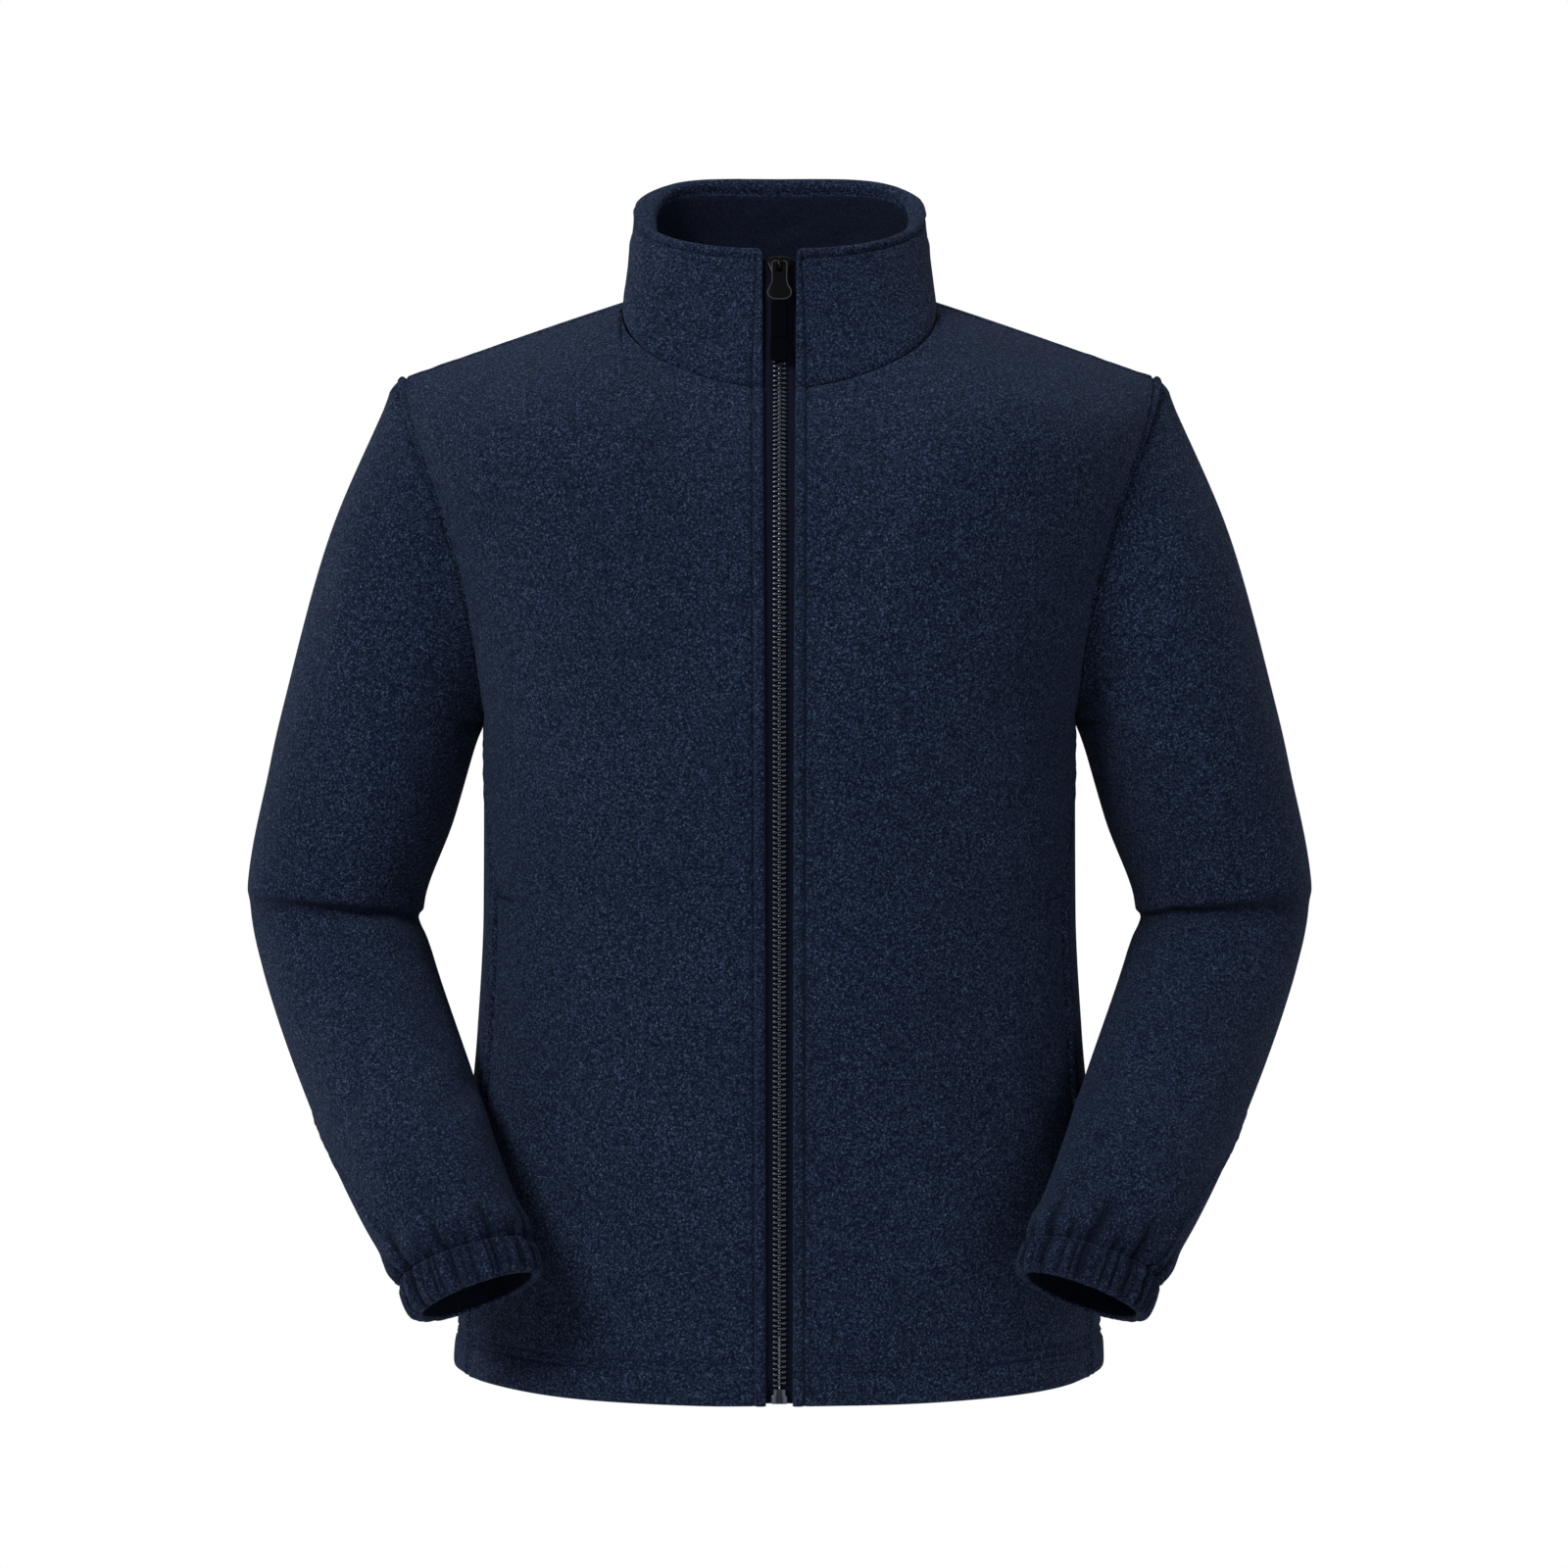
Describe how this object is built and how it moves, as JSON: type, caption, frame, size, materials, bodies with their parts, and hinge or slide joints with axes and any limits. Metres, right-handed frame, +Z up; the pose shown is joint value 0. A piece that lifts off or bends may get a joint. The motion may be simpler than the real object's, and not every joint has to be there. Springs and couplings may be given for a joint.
{
  "type": "fleece zip jacket",
  "caption": "Long-sleeved fleece jacket with a stand collar, a full-length front zip, side pockets and gathered elastic cuffs, held open as when worn.",
  "frame": {"origin": "middle of the neck opening, level with the points where the collar meets the shoulder seams", "axes": "+Z up from hem to collar, -Y out of the zipped front, +X to the wearer's left"},
  "size_m": [0.6792, 0.3213, 0.7728],
  "materials": {
    "fleece": "brushed, matte, with a soft pebbled nap",
    "zip_tape": "woven, matte",
    "zip_plastic": "moulded, slightly shiny",
    "slider_metal": "black paint, satin",
    "grip_rubber": "matte black"
  },
  "bodies": {
    "jacket": {"back": "fleece", "collar": "fleece", "cuff_left": "fleece", "cuff_right": "fleece", "front_left": "fleece", "front_right": "fleece", "pocket_bag_left": "fleece", "pocket_bag_right": "fleece", "sleeve_left": "fleece", "sleeve_right": "fleece", "slider": "slider_metal", "slider_bridge": "slider_metal", "zip_box": "zip_plastic", "zip_chain": "zip_plastic", "zip_tape_left": "zip_tape", "zip_tape_right": "zip_tape"},
    "pull": {"zip_pull": "slider_metal", "pull_strap": "grip_rubber", "pull_grip": "grip_rubber"}
  },
  "joints": [
    {"name": "pull_swing", "type": "hinge", "parent": "jacket", "child": "pull", "pos_m": [0, -0.06923, 0.01192], "axis": [-1, 0, 0], "range_deg": [0, 150]}
  ]
}
